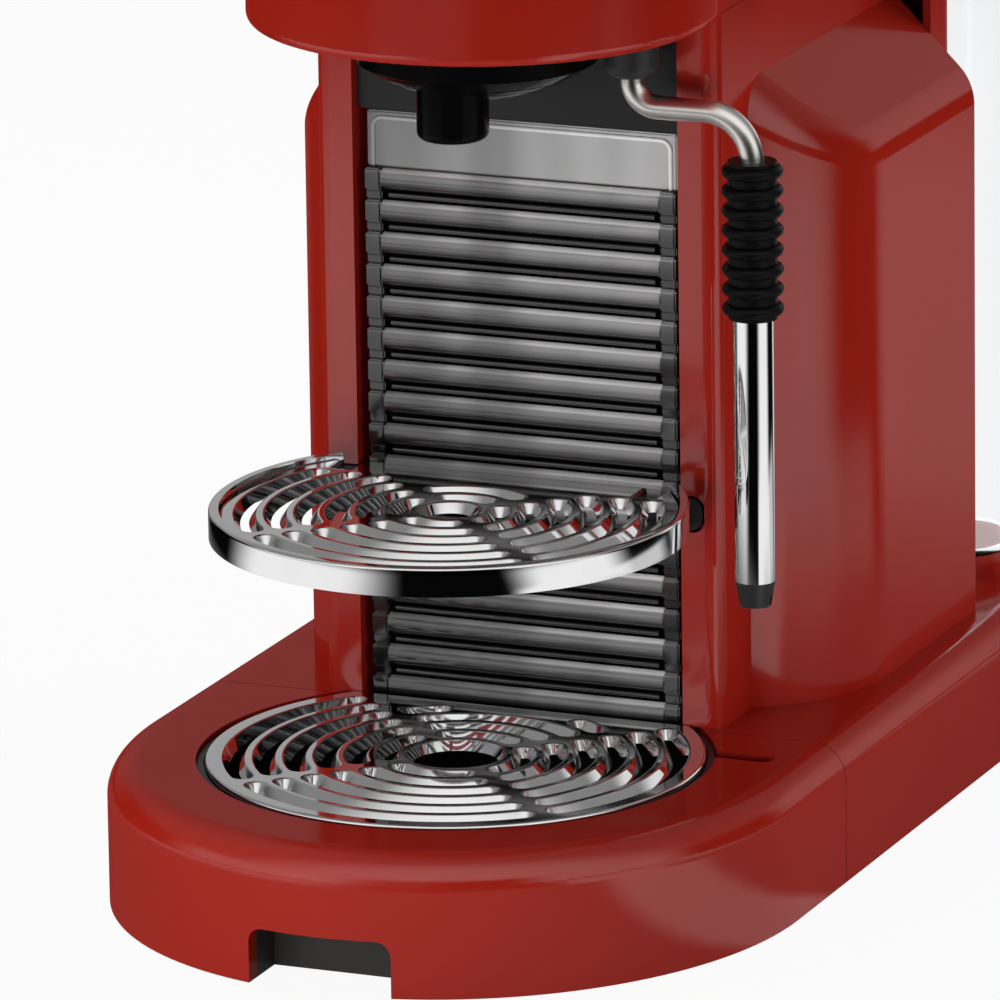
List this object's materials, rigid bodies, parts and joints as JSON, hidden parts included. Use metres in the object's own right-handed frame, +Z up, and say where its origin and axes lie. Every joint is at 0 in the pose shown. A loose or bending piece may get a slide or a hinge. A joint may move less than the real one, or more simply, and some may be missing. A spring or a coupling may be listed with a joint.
{
  "type": "capsule espresso machine",
  "caption": "Red countertop capsule coffee machine with lever, hinged cup support, drip drawer, ribbed capsule container, steam wand and lift-off water tank.",
  "frame": {"origin": "on the standing surface under the middle of the base", "axes": "+X to the right of someone facing the machine, +Y to the back, +Z up"},
  "size_m": [0.207, 0.369, 0.3143],
  "materials": {
    "red_plastic": "satin red paint-like plastic",
    "chrome_plate": "bright chrome plate",
    "black_plastic": "fine matte black",
    "black_gloss": "polished black",
    "dark_grey": "matte dark grey",
    "smoke_clear": "smoke-tinted clear plastic",
    "tank_clear": "clear plastic",
    "lid_grey": "light grey",
    "steel": "fine brushed stainless",
    "rubber_black": "matte rubber",
    "aluminium_cast": "cast",
    "brass_plain": "turned",
    "board_green": "solder mask",
    "frame_grey": "moulded"
  },
  "bodies": {
    "chassis": {"base_plate": "black_plastic", "rubber_feet": "rubber_black", "base_screws": "steel", "rear_base_shell": "red_plastic", "power_inlet": "black_plastic", "right_side_shell": "red_plastic", "left_side_shell": "red_plastic", "rear_panel": "red_plastic", "front_upper_panel": "dark_grey", "head_shell": "red_plastic", "head_bowl": "black_gloss", "coffee_outlet": "black_gloss", "coffee_duct": "frame_grey", "extraction_plate": "steel", "brew_frame": "frame_grey", "lever_brackets": "chrome_plate", "steam_valve": "brass_plain", "steam_boot": "black_plastic", "pump": "frame_grey", "pump_mounts": "rubber_black", "thermoblock": "aluminium_cast", "thermo_stand": "steel", "flow_meter": "frame_grey", "control_board": "board_green", "water_hoses": "rubber_black", "tank_seat": "red_plastic"},
    "drip_drawer": {"front_base_cover": "red_plastic", "notch_liner": "black_plastic", "drawer_floor": "black_plastic", "drip_tray": "black_plastic", "capsule_container": "smoke_clear", "cup_brackets": "black_plastic"},
    "drip_grid": {"drip_grid": "chrome_plate"},
    "cup_support": {"cup_support_rim": "chrome_plate", "cup_support_grid": "chrome_plate", "cup_hinge_pins": "steel"},
    "steam_wand": {"steam_pipe": "steel", "wand_grip": "rubber_black", "wand_tube": "chrome_plate", "wand_tip": "black_plastic"},
    "lever": {"lever_handle": "chrome_plate", "lever_pins": "steel", "slot_cover": "black_gloss"},
    "brew_piston": {"brew_piston": "frame_grey", "piston_link": "steel"},
    "espresso_dial": {"espresso_dial": "chrome_plate"},
    "lungo_dial": {"lungo_dial": "chrome_plate"},
    "espresso_button": {"espresso_button": "black_plastic"},
    "lungo_button": {"lungo_button": "black_plastic"},
    "power_button": {"power_button": "black_plastic"},
    "steam_knob": {"steam_knob": "black_plastic", "steam_spindle": "steel"},
    "water_tank": {"water_tank": "tank_clear", "tank_valve": "black_plastic"},
    "tank_lid": {"tank_lid": "lid_grey", "tank_lid_pins": "steel"}
  },
  "joints": [
    {"name": "drawer_slide", "type": "slide", "parent": "chassis", "child": "drip_drawer", "axis": [0, -1, 0], "range_m": [0, 0.2]},
    {"name": "grid_lift", "type": "slide", "parent": "drip_drawer", "child": "drip_grid", "axis": [0, 0, 1], "range_m": [0, 0.055]},
    {"name": "cup_support_fold", "type": "hinge", "parent": "drip_drawer", "child": "cup_support", "pos_m": [0, -0.046, 0.1055], "axis": [-1, 0, 0], "range_deg": [0, 90]},
    {"name": "wand_swivel", "type": "hinge", "parent": "chassis", "child": "steam_wand", "pos_m": [0.043, -0.045, 0.24], "axis": [0, 0, 1], "range_deg": [-28, 20]},
    {"name": "lever_lift", "type": "hinge", "parent": "chassis", "child": "lever", "pos_m": [0, 0.03, 0.3085], "axis": [-1, 0, 0], "range_deg": [0, 80]},
    {"name": "piston_slide", "type": "slide", "parent": "chassis", "child": "brew_piston", "axis": [0, 1, 0], "range_m": [0, 0.024]},
    {"name": "espresso_dial_turn", "type": "hinge", "parent": "chassis", "child": "espresso_dial", "pos_m": [-0.034, 0.085, 0.302], "axis": [0, 0, 1], "range_deg": [-135, 135]},
    {"name": "lungo_dial_turn", "type": "hinge", "parent": "chassis", "child": "lungo_dial", "pos_m": [0.034, 0.085, 0.302], "axis": [0, 0, 1], "range_deg": [-135, 135]},
    {"name": "espresso_press", "type": "slide", "parent": "chassis", "child": "espresso_button", "axis": [0, 0, -1], "range_m": [0, 0.002], "stiffness_N_per_m": 600},
    {"name": "lungo_press", "type": "slide", "parent": "chassis", "child": "lungo_button", "axis": [0, 0, -1], "range_m": [0, 0.002], "stiffness_N_per_m": 600},
    {"name": "power_press", "type": "slide", "parent": "chassis", "child": "power_button", "axis": [0, 0, -1], "range_m": [0, 0.002], "stiffness_N_per_m": 600},
    {"name": "steam_knob_turn", "type": "hinge", "parent": "chassis", "child": "steam_knob", "pos_m": [0.0638, 0.02, 0.279], "axis": [1, 0, 0], "range_deg": [0, 270]},
    {"name": "tank_lift", "type": "slide", "parent": "chassis", "child": "water_tank", "axis": [0, 0, 1], "range_m": [0, 0.27]},
    {"name": "tank_lid_hinge", "type": "hinge", "parent": "water_tank", "child": "tank_lid", "pos_m": [0, 0.18088, 0.23305], "axis": [-1, 0, 0], "range_deg": [0, 95]}
  ],
  "couplings": [
    {"joint": "piston_slide", "follows": "lever_lift", "m_per_rad": 0.0171}
  ]
}
